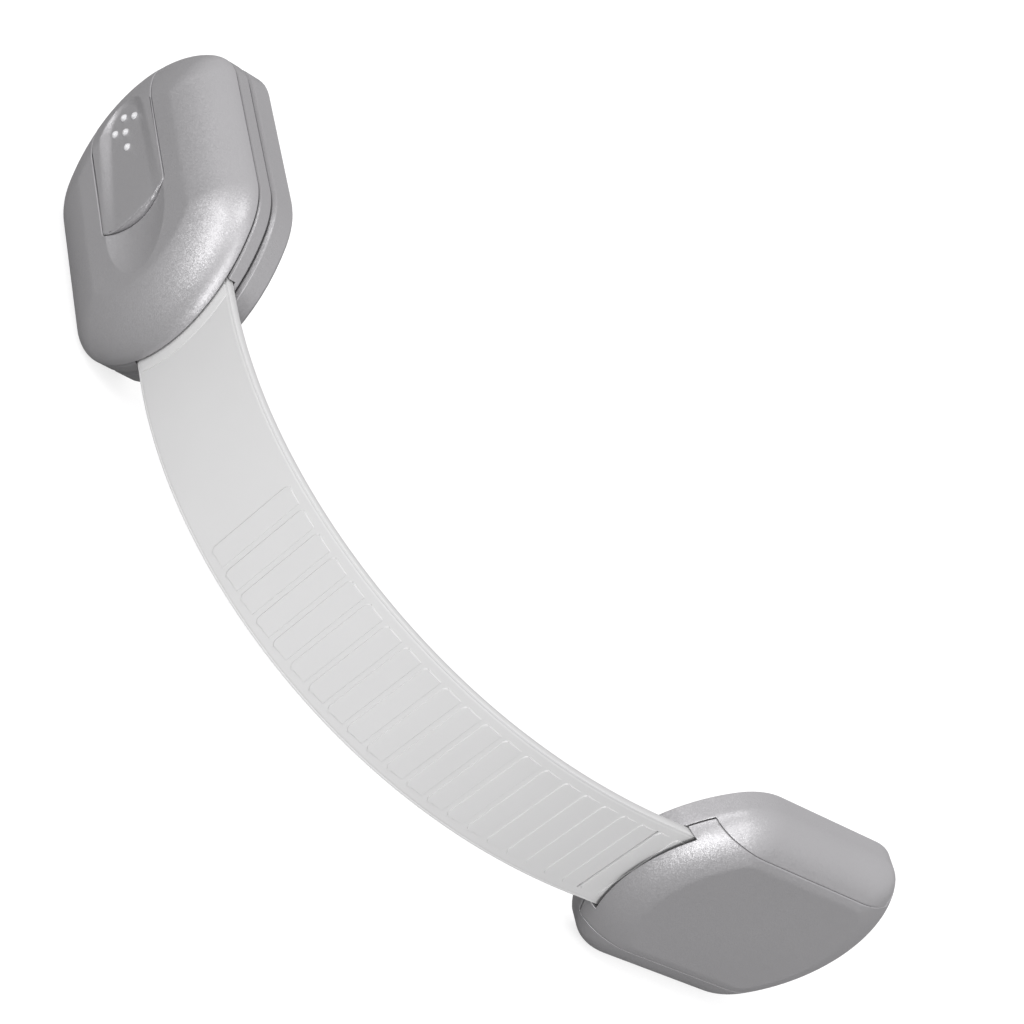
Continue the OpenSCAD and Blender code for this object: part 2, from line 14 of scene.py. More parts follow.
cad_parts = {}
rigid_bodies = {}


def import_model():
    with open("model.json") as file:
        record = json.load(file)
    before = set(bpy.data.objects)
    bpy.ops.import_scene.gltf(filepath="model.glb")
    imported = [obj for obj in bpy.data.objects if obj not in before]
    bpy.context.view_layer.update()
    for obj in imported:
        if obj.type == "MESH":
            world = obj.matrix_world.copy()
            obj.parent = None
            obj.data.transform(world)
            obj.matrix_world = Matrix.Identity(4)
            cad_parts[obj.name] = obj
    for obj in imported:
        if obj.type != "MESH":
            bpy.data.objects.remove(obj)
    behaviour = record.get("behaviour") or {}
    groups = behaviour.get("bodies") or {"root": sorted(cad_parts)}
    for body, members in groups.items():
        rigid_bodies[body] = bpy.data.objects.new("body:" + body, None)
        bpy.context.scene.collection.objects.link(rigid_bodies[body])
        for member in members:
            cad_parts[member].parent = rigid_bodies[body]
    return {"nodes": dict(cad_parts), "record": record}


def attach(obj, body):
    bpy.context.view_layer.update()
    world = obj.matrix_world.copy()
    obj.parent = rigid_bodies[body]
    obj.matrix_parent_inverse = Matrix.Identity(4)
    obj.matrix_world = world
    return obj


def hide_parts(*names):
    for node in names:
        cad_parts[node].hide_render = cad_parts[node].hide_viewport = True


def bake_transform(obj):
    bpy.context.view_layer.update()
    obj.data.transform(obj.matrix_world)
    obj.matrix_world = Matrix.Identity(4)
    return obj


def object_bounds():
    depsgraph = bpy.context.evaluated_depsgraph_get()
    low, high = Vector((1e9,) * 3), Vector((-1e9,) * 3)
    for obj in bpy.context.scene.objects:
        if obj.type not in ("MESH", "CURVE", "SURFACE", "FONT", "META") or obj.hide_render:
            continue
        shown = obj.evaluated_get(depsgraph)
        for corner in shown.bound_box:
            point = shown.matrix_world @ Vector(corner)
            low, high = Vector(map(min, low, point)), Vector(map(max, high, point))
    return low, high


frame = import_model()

cad_box = [list(corner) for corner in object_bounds()]
nodes = frame["nodes"]
print("nodes", len(nodes), "box", cad_box)

# %% [markdown]
# ## Bench tools
# An operator acts on whatever is selected, so each step starts with nothing selected.
# `pick` opens a piece and selects only what a test on place or normal allows, which is
# what a hand does with a box select. `cut` is a Boolean with a throw-away tool.

# %% Selecting and editing
def clear():
    """Leaves edit mode with nothing selected."""
    if bpy.context.object and bpy.context.object.mode != "OBJECT":
        bpy.ops.object.mode_set(mode="OBJECT")
    bpy.ops.object.select_all(action="DESELECT")


def hold(piece):
    """Selects one piece alone and makes it active."""
    clear()
    piece.select_set(True)
    bpy.context.view_layer.objects.active = piece
    return piece


def pick(piece, kind, test):
    """Opens a piece with only the vertices, edges or faces selected for which test is true."""
    hold(piece)
    bpy.ops.object.mode_set(mode="EDIT")
    bpy.ops.mesh.select_mode(type=kind)
    bpy.ops.mesh.select_all(action="DESELECT")
    bpy.ops.object.mode_set(mode="OBJECT")
    mesh = piece.data
    items = {"VERT": mesh.vertices, "EDGE": mesh.edges, "FACE": mesh.polygons}[kind]
    count = 0
    for item in items:
        item.select = bool(test(item))
        count += item.select
    bpy.ops.object.mode_set(mode="EDIT")
    return count


def edge_middle(piece, edge):
    a, b = edge.vertices
    return (piece.data.vertices[a].co + piece.data.vertices[b].co) / 2


def named(name):
    """Names the active object, with its place put into its mesh."""
    piece = bpy.context.object
    piece.name = piece.data.name = name
    bpy.ops.object.transform_apply(location=True, rotation=True, scale=True)
    return piece


def apply_modifier(piece, kind, **settings):
    hold(piece)
    modifier = piece.modifiers.new(kind.title(), kind)
    for key, value in settings.items():
        setattr(modifier, key, value)
    bpy.ops.object.modifier_apply(modifier=modifier.name)


def cut(piece, tool, operation="DIFFERENCE"):
    """Cuts, joins or intersects a piece with a tool, which is thrown away."""
    apply_modifier(piece, "BOOLEAN", operation=operation, solver="EXACT", object=tool)
    bpy.data.objects.remove(tool)
    return piece


def block(low, high, name="block"):
    """A block by its lowest and highest corners: a cutting tool or a small lug."""
    clear()
    middle = [(a + b) / 2 for a, b in zip(low, high)]
    size = [b - a for a, b in zip(low, high)]
    bpy.ops.mesh.primitive_cube_add(size=1, location=middle, scale=size)
    return named(name)


def cut_blocks(piece, *blocks, operation="DIFFERENCE"):
    for low, high in blocks:
        cut(piece, block(low, high), operation)
    return piece


def both_sides(low, high):
    """The block and its mirror image across the head's middle."""
    return [(low, high), ((low[0], -high[1], low[2]), (high[0], -low[1], high[2]))]


print("bench tools ready")

# %% [markdown]
# ## The outline of a head
# Seen from the front, both heads have the same outline: arched ends, generous corners
# and straight sides. One point is spun about the end's centre, then about the corner's,
# and drawn out to the middle. Two mirrors make the other three quarters, so the
# outline is exact and evenly divided.

# %% Sizes of a head in millimetres
head_len, head_w, corner_r, corner_setback = 51.0, 38.0, 10.0, 14.0
corner_x = head_len / 2 - corner_setback
corner_y = head_w / 2 - corner_r
end_r = (corner_setback ** 2 + corner_y ** 2 - corner_r ** 2) / (2 * (corner_setback - corner_r))
end_x = head_len / 2 - end_r
join_angle = math.atan2(corner_y, corner_x - end_x)
print("end radius", round(end_r, 3), "join angle", round(math.degrees(join_angle), 2))


# %% Draw the outline
def one_point(at):
    """A single vertex at a place, made from a tiny plane."""
    clear()
    bpy.ops.mesh.primitive_plane_add(size=0.1, location=at)
    bpy.ops.object.transform_apply(location=True)
    bpy.ops.object.mode_set(mode="EDIT")
    bpy.ops.mesh.select_mode(type="VERT")
    bpy.ops.mesh.select_all(action="SELECT")
    bpy.ops.mesh.merge(type="CENTER")
    return bpy.context.object


def spin_on(angle, centre, steps, axis=(0, 0, 1)):
    """Spins the selection about an axis through centre, anticlockwise for a positive angle."""
    bpy.ops.mesh.spin(steps=steps, angle=-angle, center=centre, axis=axis)


def draw_on(move):
    bpy.ops.mesh.extrude_region_move(TRANSFORM_OT_translate={"value": move})


def close_outline(piece, mirrors, name):
    """Mirrors a drawn line into a closed outline and fills it with one face that looks up."""
    bpy.ops.object.mode_set(mode="OBJECT")
    apply_modifier(piece, "MIRROR", use_axis=mirrors, use_clip=False, merge_threshold=0.001)
    hold(piece)
    bpy.ops.object.mode_set(mode="EDIT")
    bpy.ops.mesh.select_all(action="SELECT")
    bpy.ops.mesh.remove_doubles(threshold=0.001)
    bpy.ops.mesh.edge_face_add()
    bpy.ops.mesh.normals_make_consistent(inside=False)
    bpy.ops.object.mode_set(mode="OBJECT")
    if piece.data.polygons[0].normal.z < 0:
        hold(piece)
        bpy.ops.object.mode_set(mode="EDIT")
        bpy.ops.mesh.select_all(action="SELECT")
        bpy.ops.mesh.flip_normals()
        bpy.ops.object.mode_set(mode="OBJECT")
    piece.name = name
    return piece


def head_face(inset, z, name):
    """The head's outline, set in by inset, as one face at height z."""
    piece = one_point((head_len / 2 - inset, 0, z))
    spin_on(join_angle, (end_x, 0, z), 14)
    spin_on(math.pi / 2 - join_angle, (corner_x, corner_y, z), 9)
    draw_on((-corner_x, 0, 0))
    return close_outline(piece, (True, True, False), name)


def raise_face(piece, height):
    """Draws the piece's one face up into a solid."""
    pick(piece, "FACE", lambda face: True)
    draw_on((0, 0, height))
    bpy.ops.object.mode_set(mode="OBJECT")
    return piece


def step_in(piece, steps):
    """Insets the top face again and again: each step is (inwards, upwards)."""
    top = max(v.co.z for v in piece.data.vertices)
    pick(piece, "FACE", lambda face: face.normal.z > 0.9 and face.center.z > top - 0.001)
    for inwards, upwards in steps:
        bpy.ops.mesh.inset(thickness=inwards, depth=upwards, use_even_offset=True)
    bpy.ops.object.mode_set(mode="OBJECT")
    return piece


def outward(piece):
    """Merges doubles and turns every face outwards."""
    hold(piece)
    bpy.ops.object.mode_set(mode="EDIT")
    bpy.ops.mesh.select_all(action="SELECT")
    bpy.ops.mesh.remove_doubles(threshold=0.0005)
    bpy.ops.mesh.normals_make_consistent(inside=False)
    bpy.ops.object.mode_set(mode="OBJECT")
    return piece


def pebble(bottom, top, run, rise, inset, name, steps=16, last=math.radians(72)):
    """A head's solid form: upright sides and a round edge that meets the flat at a soft crease."""
    piece = raise_face(head_face(inset, bottom, name), top - rise - bottom)
    angles = [last * i / steps for i in range(steps + 1)]
    across, up = run / (1 - math.cos(last)), rise / math.sin(last)
    step_in(piece, [
        (across * (math.cos(a) - math.cos(b)), up * (math.sin(b) - math.sin(a)))
        for a, b in zip(angles, angles[1:])
    ])
    return outward(piece)


# %% [markdown]
# ## Finishing a moulding
# A moulded edge is never sharp. A small bevel on every edge that stays sharper than
# about thirty degrees catches a thin line of light beside each seam, and weighted
# normals keep the flat faces flat next to it. Points closer together than `weld` are
# merged first, because a bevel that is wider than an edge is long folds over it.

# %% Bevel and smooth
def soften(piece, width, segments=2, angle=28, weld=0.01):
    hold(piece)
    bpy.ops.object.mode_set(mode="EDIT")
    bpy.ops.mesh.select_all(action="SELECT")
    bpy.ops.mesh.remove_doubles(threshold=weld)
    bpy.ops.mesh.dissolve_limited(angle_limit=math.radians(0.3))
    bpy.ops.object.mode_set(mode="OBJECT")
    apply_modifier(
        piece, "BEVEL", width=width, segments=segments, limit_method="ANGLE",
        angle_limit=math.radians(angle), use_clamp_overlap=False, loop_slide=False)
    return piece


def smooth(piece, angle=35):
    hold(piece)
    bpy.ops.object.shade_smooth_by_angle(angle=math.radians(angle))
    apply_modifier(piece, "WEIGHTED_NORMAL", weight=60, keep_sharp=True)
    return piece


# Where each head stands: the bench's axes turned into the model's, in metres.
release_x, release_y = -0.0908139, 0.0848177
on_adjuster = Matrix((
    (0.001, 0, 0, 0), (0, 0, -0.001, 0), (0, 0.001, 0, 0), (0, 0, 0, 1)))
on_release = Matrix((
    (0, 0, -0.001, release_x), (0.001, 0, 0, release_y), (0, -0.001, 0, 0), (0, 0, 0, 1)))


def put(piece, place, body, slot, *stands_for):
    """Moves a piece from the bench to its place and lets it ride on its body."""
    hold(piece)
    piece.matrix_world = place
    bpy.ops.object.transform_apply(location=True, rotation=True, scale=True)
    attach(piece, body)
    if stands_for:
        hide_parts(*stands_for)
    print(piece.name, "rides on", body, "with", len(piece.data.polygons), "faces")
    return piece


# %% [markdown]
# ## The camera
# The camera stands where the photograph's stood: in front of the strap's outer side,
# a little above it, and rolled so that the release head hangs top left.

# %% Place the camera
clear()
bpy.ops.object.camera_add(
    location=(-0.282991, -0.191895, 0.174609),
    rotation=[math.radians(a) for a in (51.5537, -44.765, -15.9937)])
camera = bpy.context.object
camera.name = "camera"
camera.data.sensor_width = 36
camera.data.lens = 89.412
camera.data.dof.use_dof = False
bpy.context.scene.camera = camera
print("lens", round(camera.data.lens, 2), "mm")

# %% [markdown]
# ## The release head
# The front shell is a shallow pebble. It is cut by three tools: the hollow that holds
# the latch, the channel that the button slides in, and a thumb scoop ahead of it.

# %% Sizes of the release head
back_z, top_z, wall = 7.1, 13.1, 1.8
run, rise = 9.0, 5.6
button_x, button_w, button_sag, seam = -4.9, 13.6, 1.7, 0.1
dish_near_r, dish_far_r, dish_far_x, dish_fall = 6.7, 5.3, 15.9, 2.1


def hollow_form(name):
    """The room inside the front shell, one wall thickness in from its outside."""
    return pebble(back_z - 1, top_z - wall, run - wall, rise - wall / 2, wall, name, steps=8)


def button_face(grow, z, name, corner=0.6):
    """The button from the front: straight sides and an arched edge towards the strap."""
    half = button_w / 2 + grow
    radius = ((button_w / 2) ** 2 + button_sag ** 2) / (2 * button_sag) + grow
    centre = button_x - grow + radius
    piece = one_point((button_x - grow, 0, z))
    spin_on(-math.asin(half / radius), (centre, 0, z), 16)
    draw_on((40, 0, 0))
    close_outline(piece, (False, True, False), name)
    pick(piece, "VERT", lambda v: v.co.x < 0 and abs(abs(v.co.y) - half) < 0.001)
    bpy.ops.mesh.bevel(offset=corner, segments=5, affect="VERTICES")
    bpy.ops.object.mode_set(mode="OBJECT")
    return piece


def thumb_bowl():
    """The scoop: a long shallow bowl, deepest at the button's edge."""
    clear()
    reach, half, depth = 11.3, 6.6, 1.15
    bpy.ops.mesh.primitive_uv_sphere_add(segments=96, ring_count=48, radius=1)
    piece = named("thumb_bowl")
    height = (half ** 2 + depth ** 2) / (2 * depth)
    stretch = reach / half
    hold(piece)
    piece.scale = (height * stretch, height, height)
    piece.location = (button_x + 0.4, 0, top_z + height - depth)
    bpy.ops.object.transform_apply(location=True, rotation=True, scale=True)
    return piece


# %% Mould the front shell
shell = pebble(back_z + 0.22, top_z, run, rise, 0, "release_shell")
cut(shell, thumb_bowl())
hollow = hollow_form("shell_hollow")
cut(hollow, block((-40, -30, 0), (button_x - 0.5, 30, 30)))
cut(shell, hollow)
channel = raise_face(button_face(seam, back_z - 1, "channel"), 10)
cut(shell, outward(channel))
soften(shell, 0.22, 3, weld=0.08)
smooth(shell)
put(shell, on_release, "release_head", "grey_shell", "release_front_shell")

# %% [markdown]
# ## The release button
# The button is cut from the same pebble, so its face runs on from the shell's. A long
# finger dish slopes down into it towards the far end, and the arched edge that the
# thumb meets in the scoop is turned over into a lip, thickest in the middle.

# %% Sink the dish, turn the lip and cut the button
def finger_dish(z, near_r, far_r, far_x, fall, name):
    """A tapered dish, made upside down: its outline is set in and tipped step by step."""
    lean = math.asin((near_r - far_r) / (far_x - button_x))
    piece = one_point((far_x + far_r, 0, z + 1))
    spin_on(math.pi / 2 - lean, (far_x, 0, z + 1), 14)
    side_steps, overrun_steps, overrun_step = 16, 4, 3
    for i in range(side_steps):
        draw_on(((button_x - far_x) / side_steps, (near_r - far_r) / side_steps, 0))
    for i in range(overrun_steps):
        draw_on((-overrun_step, 0, 0))
    close_outline(piece, (False, True, False), name)
    pick(piece, "FACE", lambda face: True)
    bpy.ops.mesh.flip_normals()
    draw_on((0, 0, -1))
    steps, rim, sink, least = 10, 2.6, 0.1, 0.002
    for i in range(steps):
        a, b = i / steps, (i + 1) / steps
        share = (3 * b * b - 2 * b ** 3) - (3 * a * a - 2 * a ** 3)
        bpy.ops.mesh.inset(thickness=rim / steps, depth=sink * share + least)
        bpy.ops.transform.rotate(
            value=-math.radians(fall) * share, orient_axis="Y", orient_type="GLOBAL",
            center_override=(button_x, 0, z))
    bpy.ops.object.mode_set(mode="OBJECT")
    print("dish depth", round(z - min(v.co.z for v in piece.data.vertices), 2))
    return outward(piece)


def lip_form():
    """A wide drum whose rounded top edge turns the button's arched edge over into a lip."""
    sag, turn, stretch = 0.9, 0.85, 1.6
    radius = ((button_w / 2) ** 2 + sag ** 2) / (2 * sag)
    clear()
    bpy.ops.mesh.primitive_cylinder_add(
        vertices=360, radius=radius + turn, depth=14,
        location=(button_x + button_sag - sag + radius, 0, top_z - 7))
    piece = named("lip_form")

    def on_top(edge):
        return min(piece.data.vertices[i].co.z for i in edge.vertices) > top_z - 0.01

    pick(piece, "EDGE", on_top)
    bpy.ops.mesh.bevel(offset=turn, segments=6, affect="EDGES")
    bpy.ops.mesh.select_all(action="SELECT")
    bpy.ops.transform.resize(value=(1, 1, stretch), center_override=(0, 0, top_z))
    bpy.ops.object.mode_set(mode="OBJECT")
    return piece


button = pebble(back_z + 0.25, top_z, run, rise - 0.1, 0, "thumb_button")
cut(button, outward(raise_face(button_face(0, back_z - 1, "button_plan"), 10)), "INTERSECT")
cut(button, lip_form(), "INTERSECT")
cut(button, finger_dish(top_z, dish_near_r, dish_far_r, dish_far_x, dish_fall, "finger_dish"))
cut(button, hollow_form("button_hollow"))
soften(button, 0.2, 3, weld=0.03)
smooth(button)
put(button, on_release, "button", "grey_shell", "release_button")


# %% [markdown]
# Five raised dots make an arrow towards the far end, so a finger finds the button.
# One dot is modelled and copied.

# %% Set the grip dots
# Places as shares of the button's width: back from the far end, and to the side.
dot_places = ((0.632, 0), (0.754, 0.165), (0.754, -0.165), (0.875, 0), (1.125, 0))


def grip_dots():
    clear()
    bpy.ops.mesh.primitive_uv_sphere_add(segments=24, ring_count=12, radius=0.66)
    first = named("grip_dots")
    pick(first, "VERT", lambda v: v.co.z < -0.3)
    bpy.ops.mesh.delete(type="VERT")
    bpy.ops.object.mode_set(mode="OBJECT")
    copies = []
    for back, side in dot_places:
        hold(first)
        bpy.ops.object.duplicate()
        copy = bpy.context.object
        x = head_len / 2 - back * button_w
        fallen = (x - button_x) * math.tan(math.radians(dish_fall))
        copy.location = (x, side * button_w, top_z - 0.1 - fallen - 0.22)
        copies.append(copy)
    bpy.data.objects.remove(first)
    clear()
    for copy in copies:
        copy.select_set(True)
    bpy.context.view_layer.objects.active = copies[0]
    bpy.ops.object.join()
    return named("grip_dots")


dots = grip_dots()
hold(dots)
bpy.ops.object.shade_smooth()
put(dots, on_release, "button", "grey_shell")

# %% [markdown]
# ## The adjuster head
# One pebble is split by the seam that shows on the real head: the lid is a T, a panel
# between two side rails that widens to the full width at the far end, and the tray is
# what is left. The strap runs through the middle under the lid.

# %% Sizes of the adjuster head
base_z, floor_z, lid_z, adjuster_top = 0.6, 3.9, 4.1, 8.8
panel_half, notch_x, gap = 13.35, 18.3, 0.07
hinge_x, hinge_z = 23.6, 4.6
hollow_x0, hollow_x1, hollow_half, hollow_top = -17.5, 17.0, 11.1, 7.2
strap_half, mouth_half, mouth_top = 9.75, 9.87, 5.95
knuckle_r, knuckle_half, pin_r, trough_r, trough_half = 1.4, 2.6, 0.8, 2.4, 9.5
lug_r, lug_y0, lug_y1 = 1.1, 2.85, 4.95
guide_x0, guide_x1, guide_y0, guide_y1 = -17.25, 7.6, 10.05, 10.85


def bar(radius, y0, y1, name="bar", vertices=48):
    """A round bar across the head on the hinge's axis."""
    clear()
    bpy.ops.mesh.primitive_cylinder_add(
        vertices=vertices, radius=radius, depth=y1 - y0,
        location=(hinge_x, (y0 + y1) / 2, hinge_z), rotation=(math.pi / 2, 0, 0))
    return named(name)


# %% Mould the tray
tray = pebble(base_z, adjuster_top, 7.5, 5.5, 0, "adjuster_tray")
cut_blocks(
    tray,
    ((-40, -panel_half - gap, floor_z), (notch_x, panel_half + gap, 20)),
    ((notch_x - gap, -30, floor_z), (40, 30, 20)),
)
cut(tray, bar(trough_r, -trough_half, trough_half, vertices=20))
for low, high in both_sides((hinge_x - lug_r, lug_y0, 1.9), (hinge_x + lug_r, lug_y1, hinge_z)):
    lug = block(low, high)
    cut(lug, bar(lug_r, low[1], high[1]), "UNION")
    cut(tray, lug, "UNION")
guides = both_sides((guide_x0, guide_y0, floor_z - 0.5), (guide_x1, guide_y1, floor_z + 1.4))
cut_blocks(tray, *guides, operation="UNION")
cut(tray, bar(pin_r, -5.5, 5.5))
recess = raise_face(head_face(1.35, 0, "pad_recess"), 1.0)
cut(tray, outward(recess))
soften(tray, 0.15, 3)
smooth(tray)
put(tray, on_adjuster, "adjuster", "grey_shell", "adjuster_base")

# %% Mould the lid
lid = pebble(base_z, adjuster_top, 7.5, 5.5, 0, "adjuster_lid")
cut_blocks(
    lid,
    ((-40, -30, -1), (40, 30, lid_z)),
    ((-40, panel_half, 0), (notch_x, 30, 20)),
    ((-40, -30, 0), (notch_x, -panel_half, 20)),
    ((hollow_x0, -hollow_half, 0), (hollow_x1, hollow_half, hollow_top)),
    ((hollow_x0, -strap_half, 0), (hollow_x0 + 20.5, strap_half, hollow_top + 0.6)),
    ((-40, -mouth_half, 0), (hollow_x0 + 0.5, mouth_half, mouth_top)),
    *both_sides((hinge_x - 1.75, knuckle_half, 0), (40, 5.8, hinge_z + 1.35)),
)
cut(lid, bar(knuckle_r, -knuckle_half, knuckle_half), "UNION")
cut(lid, bar(pin_r, -lug_y0, lug_y0))
soften(lid, 0.15, 3, weld=0.02)
smooth(lid)
put(lid, on_adjuster, "cover", "grey_shell", "adjuster_cover")

# %% [markdown]
# ## The strap
# The strap is one soft moulding that bends. Eight lengths each cross one bending line
# and meet edge to edge half-way between. A section is spun about the centre of each bend, as the
# strap lies.

# %% The line that the strap follows
hinges = [
    (-27.8, -4.7), (-42.7782, -3.5212), (-57.3076, 0.2702), (-70.6773, 7.0824),
    (-82.0069, 16.9137), (-90.4856, 29.285), (-95.5668, 43.3987), (-97.2139, 58.3177)]
shares = [0.1, 0.125, 0.15, 0.16, 0.165, 0.16, 0.14]
span, tail, root_len, thick = 15.04, 22.5, 17.0, 1.2
rib_pitch, rib_start, rib_long, rib_wide, rib_corner, rib_chamfer = 3.76, 0.22, 3.4, 15.9, 1.1, 0.24
headings = [math.pi - math.pi / 2 * sum(shares[:i]) for i in range(8)]
turns = [math.pi / 2 * share for share in shares]


def inward(a):
    return Vector((math.sin(a), -math.cos(a), 0))


def centre_of(i):
    return Vector((*hinges[i], 0)) + inward(headings[i]) * (span / turns[i])


def along(s):
    """(point, heading) on the strap's middle line at a distance s from the adjuster."""
    if s <= 0:
        return Vector((hinges[0][0] - s, hinges[0][1], 0)), math.pi
    i = int(s // span)
    if i >= 7:
        return Vector((hinges[7][0], hinges[7][1] + s - 7 * span, 0)), math.pi / 2
    turned = turns[i] * (s - i * span) / span
    a = headings[i] - turned
    return centre_of(i) - inward(a) * (span / turns[i]), a


# %% Shape a length of strap
# A quarter of the section, from the face's middle to the edge's, as (height, width) steps.
section_steps = (
    (0, 9.0),
    (0, 0.2), (-0.05, 0.12), (0.05, 0.12),  # a fine groove beside the edge
    (0, 0.06), (-0.03, 0.17), (-0.12, 0.08),  # the rounding
    (-0.45, 0))


def strap_section(s):
    """The strap's cross-section as a closed line at a distance s, open for editing."""
    at, a = along(s)
    piece = one_point((thick / 2, 0, 0))
    for move in section_steps:
        draw_on((*move, 0))
    bpy.ops.object.mode_set(mode="OBJECT")
    apply_modifier(piece, "MIRROR", use_axis=(True, True, False), merge_threshold=0.001)
    out = -inward(a)
    piece.matrix_world = Matrix((
        (out.x, 0, out.y, at.x), (out.y, 0, -out.x, at.y), (0, 1, 0, 0), (0, 0, 0, 1)))
    hold(piece)
    bpy.ops.object.transform_apply(location=True, rotation=True, scale=True)
    hold(piece)
    bpy.ops.object.mode_set(mode="EDIT")
    bpy.ops.mesh.select_mode(type="VERT")
    bpy.ops.mesh.select_all(action="SELECT")
    return piece


def sweep(s0, s1, name, cap_start=False, cap_end=False):
    """Sweeps the section from s0 to s1 along the strap's line."""
    piece = strap_section(s0)
    if cap_start:
        bpy.ops.mesh.edge_face_add()
    s = s0
    while s < s1 - 1e-6:
        if s < -1e-6:
            step = min(0, s1) - s
            draw_on((-step, 0, 0))
            s += step
        elif s >= 7 * span - 1e-6:
            step = s1 - s
            draw_on((0, step, 0))
            s += step
        else:
            i = int((s + 1e-6) // span)
            step = min((i + 1) * span, s1) - s
            spin_on(-turns[i] * step / span, centre_of(i), max(2, round(step / 0.94)))
            s += step
    if cap_end:
        bpy.ops.mesh.edge_face_add()
    bpy.ops.object.mode_set(mode="OBJECT")
    piece.name = name
    return outward(piece)


# %% [markdown]
# Each rib is a low wedge: steep towards the release head, so the pawl holds it, and
# sloping away towards the adjuster, so the strap pulls in freely.

# %% Model one rib
def rib_shape():
    """A rib with its steep edge at x 0, its foot sunk in the strap and its back sloping away."""
    clear()
    bpy.ops.mesh.primitive_cube_add(
        size=1, location=(rib_long / 2, 0, -0.135), scale=(rib_long, rib_wide, 0.53))
    piece = named("rib")
    pick(piece, "EDGE", lambda e: abs(edge_middle(piece, e).x - rib_long / 2) < 0.01)
    bpy.ops.mesh.subdivide(number_cuts=4)
    bpy.ops.object.mode_set(mode="OBJECT")
    for x, drop in ((1.36, 0.04), (2.04, 0.08), (2.72, 0.12), (3.4, 0.17)):
        pick(piece, "VERT", lambda v: abs(v.co.x - x) < 0.02 and v.co.z > 0.1)
        bpy.ops.transform.translate(value=(0, 0, -drop))
        bpy.ops.object.mode_set(mode="OBJECT")

    def upright_corner(edge):
        at = edge_middle(piece, edge)
        return abs(at.x) < 0.01 and abs(abs(at.y) - rib_wide / 2) < 0.01

    pick(piece, "EDGE", upright_corner)
    bpy.ops.mesh.bevel(offset=rib_corner, segments=6, affect="EDGES")
    bpy.ops.object.mode_set(mode="OBJECT")
    pick(piece, "FACE", lambda f: f.normal.z > 0.8)
    bpy.ops.mesh.region_to_loop()
    bpy.ops.mesh.bevel(offset=rib_chamfer, segments=1, affect="EDGES")
    bpy.ops.object.mode_set(mode="OBJECT")
    return outward(piece)


def add_ribs(piece, first, last, rib):
    """Copies the rib to its places from first to last and joins the copies to the strap."""
    copies = []
    for k in range(first, last + 1):
        s = -rib_start + rib_pitch * k
        at, a = along(s)
        out = -inward(a)
        back = Vector((-math.cos(a), -math.sin(a), 0))
        at = at + out * (thick / 2)
        hold(rib)
        bpy.ops.object.duplicate()
        copy = bpy.context.object
        side = Vector(out).cross(back)
        copy.matrix_world = Matrix((
            (back.x, side.x, out.x, at.x), (back.y, side.y, out.y, at.y),
            (back.z, side.z, out.z, at.z), (0, 0, 0, 1)))
        copies.append(copy)
    clear()
    for copy in copies:
        copy.select_set(True)
    piece.select_set(True)
    bpy.context.view_layer.objects.active = piece
    if copies:
        bpy.ops.object.join()
    return piece


# %% [markdown]
# Where the strap enters the release head it has a thin arched collar that follows the
# head's end. At the adjuster the last rib starts from a narrow groove.

# %% Shape the collar and the groove
def collar():
    """A thin disc about the head's end centre, trimmed to the strap's width."""
    clear()
    face = hinges[7][0] - thick / 2
    middle = release_y * 1000 - end_x
    bpy.ops.mesh.primitive_cylinder_add(
        vertices=180, radius=24.0, depth=0.6, rotation=(0, math.pi / 2, 0),
        location=(face + 0.17, middle, 0))
    piece = named("collar")
    cut(piece, block((-110, 57, -9.3), (-90, 64, 9.3)), "INTERSECT")
    pick(piece, "EDGE", lambda e: edge_middle(piece, e).x < face - 0.12)
    bpy.ops.mesh.bevel(offset=0.12, segments=2, affect="EDGES")
    bpy.ops.object.mode_set(mode="OBJECT")
    return outward(piece)


def cut_groove(piece, s_end):
    """Cuts the narrow groove, then opens the cap that closed the length for the cut."""
    x = hinges[0][0] + rib_start
    cut(piece, block((x - 0.26, hinges[0][1] - 1, -7.9), (x + 0.06, hinges[0][1] - 0.34, 7.9)))
    at = along(s_end)[0]
    pick(piece, "FACE", lambda f: (f.center - at).length < 0.3 and f.area > 15)
    bpy.ops.mesh.delete(type="ONLY_FACE")
    bpy.ops.object.mode_set(mode="OBJECT")
    return piece


# %% Make the eight lengths
model_scale = Matrix.Scale(0.001, 4)
rib = rib_shape()
cuts = [-tail] + [span * (i + 0.5) for i in range(7)] + [7 * span + root_len]
covers = [["strap_tail"]] + [["strap_span_%d" % i] for i in range(1, 8)]
covers[7].append("strap_anchor_end")
for i in range(8):
    s0, s1 = cuts[i], cuts[i + 1]
    piece = sweep(s0, s1, "strap_length_%d" % (i + 1), cap_start=i == 0, cap_end=i in (0, 7))
    if i == 0:
        cut_groove(piece, s1)
    first = math.ceil((s0 + rib_start + 3.2 if i else s0 + 3.5) / rib_pitch)
    last = min(20, math.floor((s1 + rib_start) / rib_pitch))
    add_ribs(piece, first, last, rib)
    if i == 7:
        root = collar()
        hold(piece)
        root.select_set(True)
        bpy.ops.object.join()
    hold(piece)
    bpy.ops.object.shade_smooth_by_angle(angle=math.radians(40))
    piece.matrix_world = model_scale
    bpy.ops.object.transform_apply(location=True, rotation=True, scale=True)
    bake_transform(piece)
    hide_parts(*covers[i])
    print(piece.name, "ribs", first, "to", last, "faces", len(piece.data.polygons))
bpy.data.objects.remove(rib)


# %% [markdown]
# ## Plates and pads
# The flat plates and the pieces inside keep the model's own shape. Their meshes are
# loose triangles, so a copy is merged and smoothed, and the copy stands for the piece.

